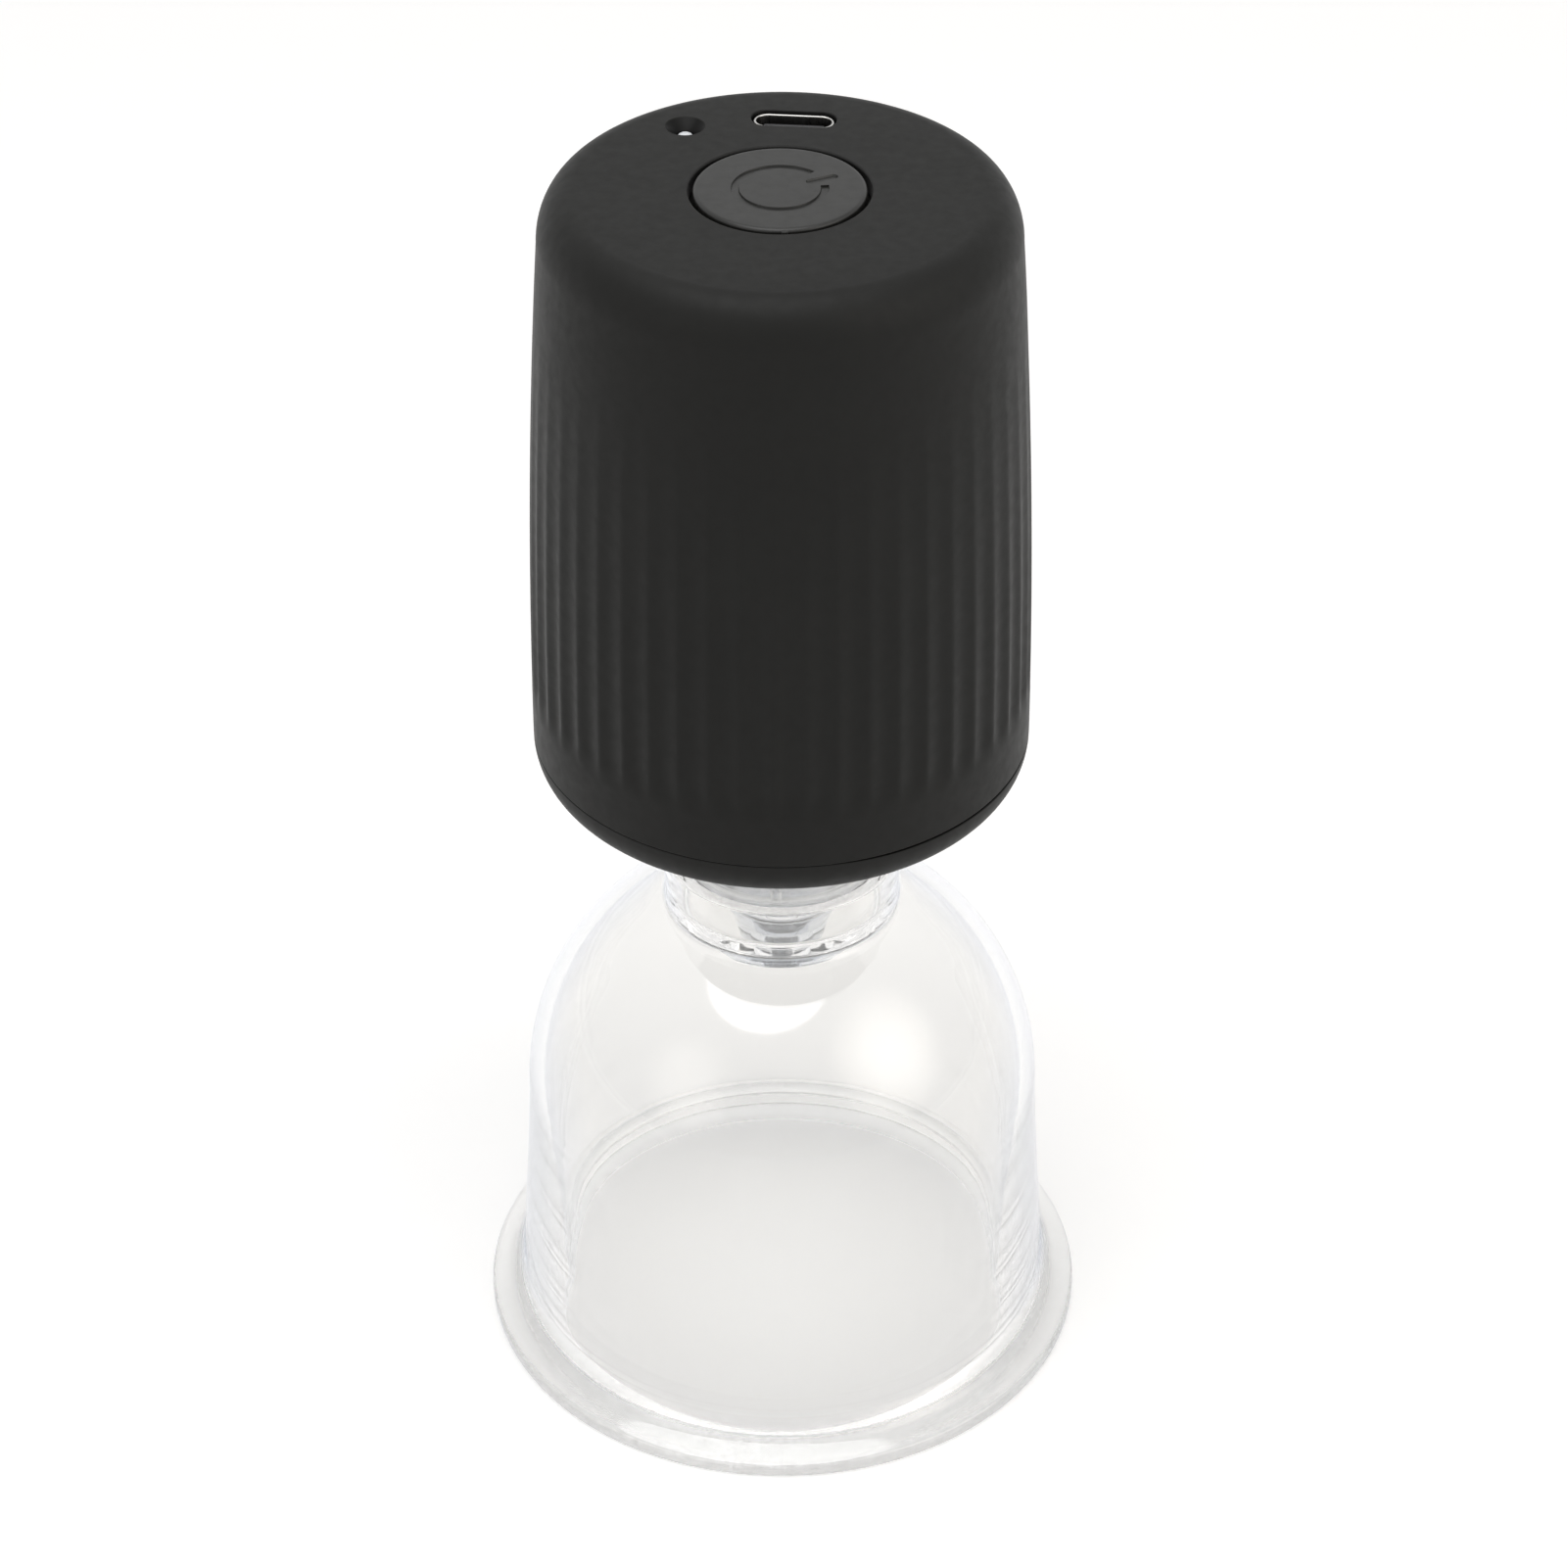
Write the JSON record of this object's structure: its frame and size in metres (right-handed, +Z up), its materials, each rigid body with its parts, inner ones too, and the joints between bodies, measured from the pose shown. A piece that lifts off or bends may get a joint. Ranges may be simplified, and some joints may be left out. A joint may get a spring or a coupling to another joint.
{
  "type": "cupping massager",
  "caption": "Cordless cupping massager: a fluted round vacuum head with a push button and a charging socket, standing on a clear bell cup with a flared rim and a pull-pin valve.",
  "frame": {"origin": "centre of the cup's mouth, on the plane that its rim rests on", "axes": "+Z up along the cup's and the head's common axis; the user's side, with the button's key, faces -Y and the charging socket lies towards +Y"},
  "size_m": [0.074, 0.074, 0.1557],
  "materials": {
    "clear_plastic": "clear, polished polycarbonate",
    "soft_touch_black": "soft-touch matte black",
    "button_grey": "dark grey with a slight gloss",
    "pale_silicone": "translucent white silicone",
    "white_lens": "milky white",
    "steel": "plain satin",
    "copper": "bare copper",
    "winding_wire": "enamelled copper wire",
    "ferrite": "dull dark grey ferrite",
    "brass": "turned",
    "frame_plastic": "dark grey moulded",
    "pump_plastic": "natural white moulded",
    "rubber": "black",
    "board_green": "green solder mask",
    "chip_black": "black moulded",
    "cell_wrap": "blue shrink wrap",
    "foam": "grey foam"
  },
  "bodies": {
    "cup": {"cup_shell": "clear_plastic"},
    "cup_valve": {"valve_seal": "pale_silicone", "valve_pin": "clear_plastic"},
    "head": {"air_manifold": "pump_plastic", "base_cap": "soft_touch_black", "base_screw_1": "steel", "base_screw_2": "steel", "base_screw_3": "steel", "battery_cell": "cell_wrap", "battery_pad": "foam", "board_screw_1": "steel", "board_screw_2": "steel", "brush_left": "copper", "brush_right": "copper", "diaphragm": "rubber", "docking_nozzle": "pale_silicone", "front_bush": "brass", "indicator_led": "white_lens", "inner_frame": "frame_plastic", "light_pipe": "white_lens", "magnet_back": "ferrite", "magnet_front": "ferrite", "main_board": "board_green", "motor_can": "steel", "motor_end_cap": "frame_plastic", "motor_sleeve": "rubber", "outer_shell": "soft_touch_black", "pressure_sensor": "chip_black", "pump_case": "pump_plastic", "pump_cover": "pump_plastic", "pump_screw_1": "steel", "pump_screw_2": "steel", "pump_screw_3": "steel", "pump_tube": "pale_silicone", "rear_bush": "brass", "release_coil": "winding_wire", "release_valve_can": "steel", "release_valve_cap": "pump_plastic", "sensor_tube": "pale_silicone", "tact_switch": "chip_black", "usb_shell": "steel", "usb_tongue": "chip_black", "valve_plate": "pump_plastic", "valve_tube": "pale_silicone", "wobble_plate": "frame_plastic"},
    "button": {"power_button": "button_grey", "switch_plunger": "white_lens"},
    "rotor": {"motor_shaft": "steel", "commutator": "copper", "armature_core": "steel", "winding_1": "winding_wire", "winding_2": "winding_wire", "winding_3": "winding_wire", "eccentric": "brass", "crank_pin": "steel"},
    "release": {"release_plunger": "steel"}
  },
  "joints": [
    {"name": "head_lift", "type": "slide", "parent": "cup", "child": "head", "axis": [0, 0, 1], "range_m": [0, 0.03]},
    {"name": "valve_pull", "type": "slide", "parent": "cup", "child": "cup_valve", "axis": [0, 0, 1], "range_m": [0, 0.002]},
    {"name": "button_press", "type": "slide", "parent": "head", "child": "button", "axis": [0, 0, -1], "range_m": [0, 0.00045], "stiffness_N_per_m": 2500, "springref_m": -0.0003},
    {"name": "rotor_spin", "type": "hinge", "parent": "head", "child": "rotor", "pos_m": [-0.00966, 0.00091, 0.125], "axis": [0, 0, 1], "continuous": true},
    {"name": "release_stroke", "type": "slide", "parent": "head", "child": "release", "axis": [0, 0, 1], "range_m": [0, 0.0008], "stiffness_N_per_m": 300, "springref_m": -0.001}
  ]
}
